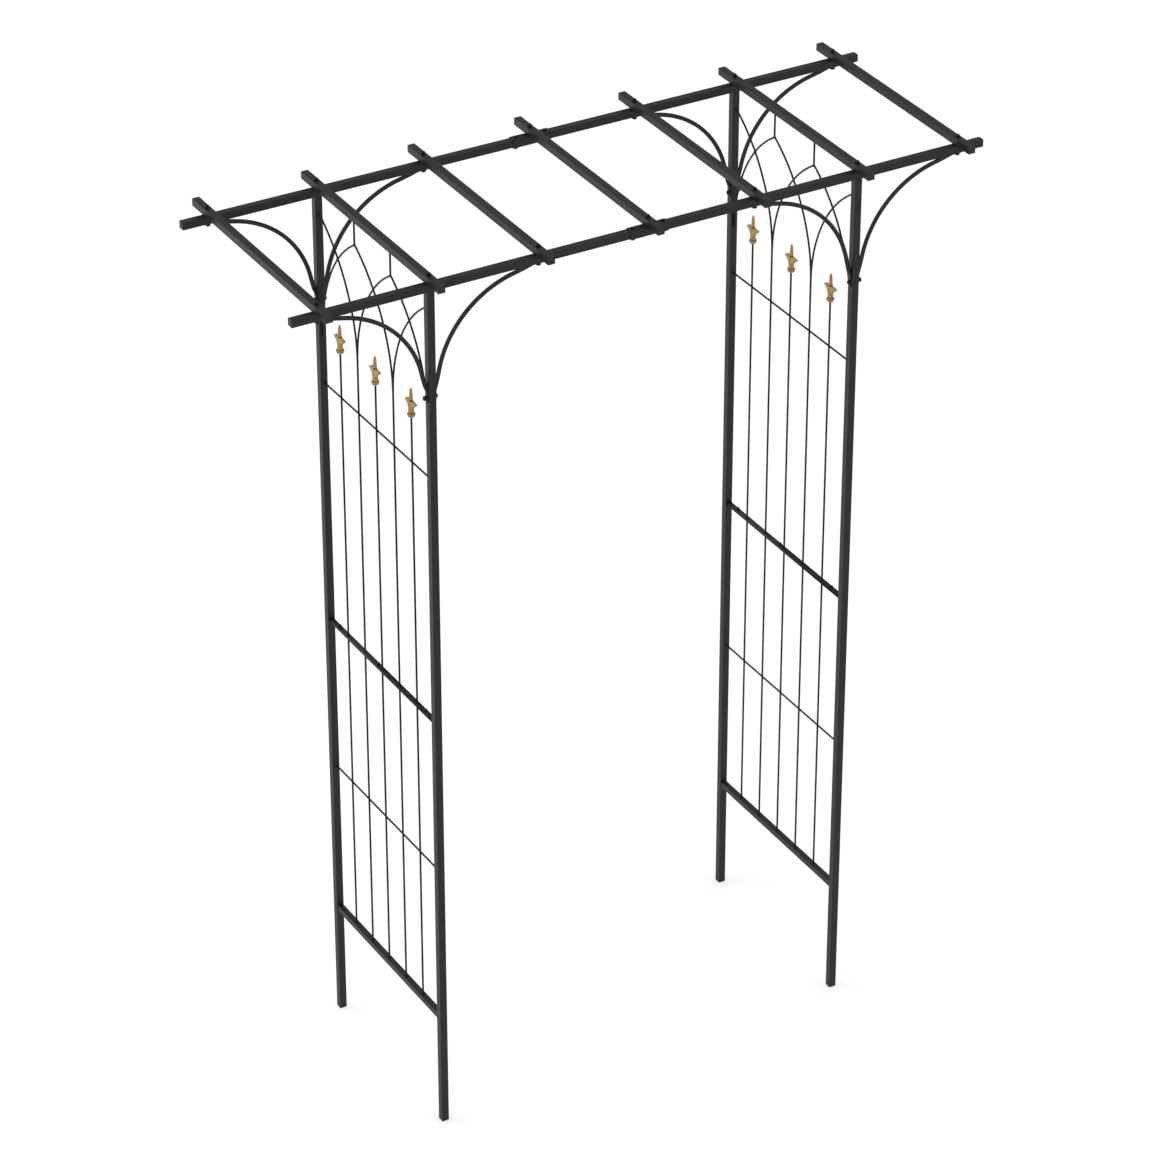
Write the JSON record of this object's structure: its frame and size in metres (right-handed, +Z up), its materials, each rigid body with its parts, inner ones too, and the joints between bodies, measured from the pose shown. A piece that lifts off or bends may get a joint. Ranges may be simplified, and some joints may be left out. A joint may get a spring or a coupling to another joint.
{
  "type": "rose arch",
  "caption": "Flat-topped garden arch of square black tube with cross rafters, curved braces and wire side panels with interlaced arches and gold finials.",
  "frame": {"origin": "on the ground at the middle of the plan, between the four posts", "axes": "+X along the two long beams, +Y through the arch towards the back beam, +Z up"},
  "size_m": [1.84, 0.673, 2.3657],
  "materials": {
    "black_steel": "satin black powder coat",
    "gold_paint": "antique gold on cast metal"
  },
  "bodies": {
    "root": {"post_left_back": "black_steel", "post_left_front": "black_steel", "post_right_back": "black_steel", "post_right_front": "black_steel", "beam_back_left": "black_steel", "beam_back_right": "black_steel", "beam_front_left": "black_steel", "beam_front_right": "black_steel", "beam_sleeve_back": "black_steel", "beam_sleeve_front": "black_steel", "rafter_1": "black_steel", "rafter_2": "black_steel", "rafter_3": "black_steel", "rafter_4": "black_steel", "rafter_5": "black_steel", "rafter_6": "black_steel", "rafter_7": "black_steel", "brace_left_back_outer": "black_steel", "brace_left_back_inner": "black_steel", "brace_left_front_outer": "black_steel", "brace_left_front_inner": "black_steel", "brace_right_back_outer": "black_steel", "brace_right_back_inner": "black_steel", "brace_right_front_outer": "black_steel", "brace_right_front_inner": "black_steel", "bottom_rail_left": "black_steel", "bottom_rail_right": "black_steel", "wire_panel_lower_left": "black_steel", "wire_panel_lower_right": "black_steel", "wire_panel_upper_left": "black_steel", "wire_panel_upper_right": "black_steel", "finial_left_back": "gold_paint", "finial_left_middle": "gold_paint", "finial_left_front": "gold_paint", "finial_right_back": "gold_paint", "finial_right_middle": "gold_paint", "finial_right_front": "gold_paint"}
  },
  "joints": []
}
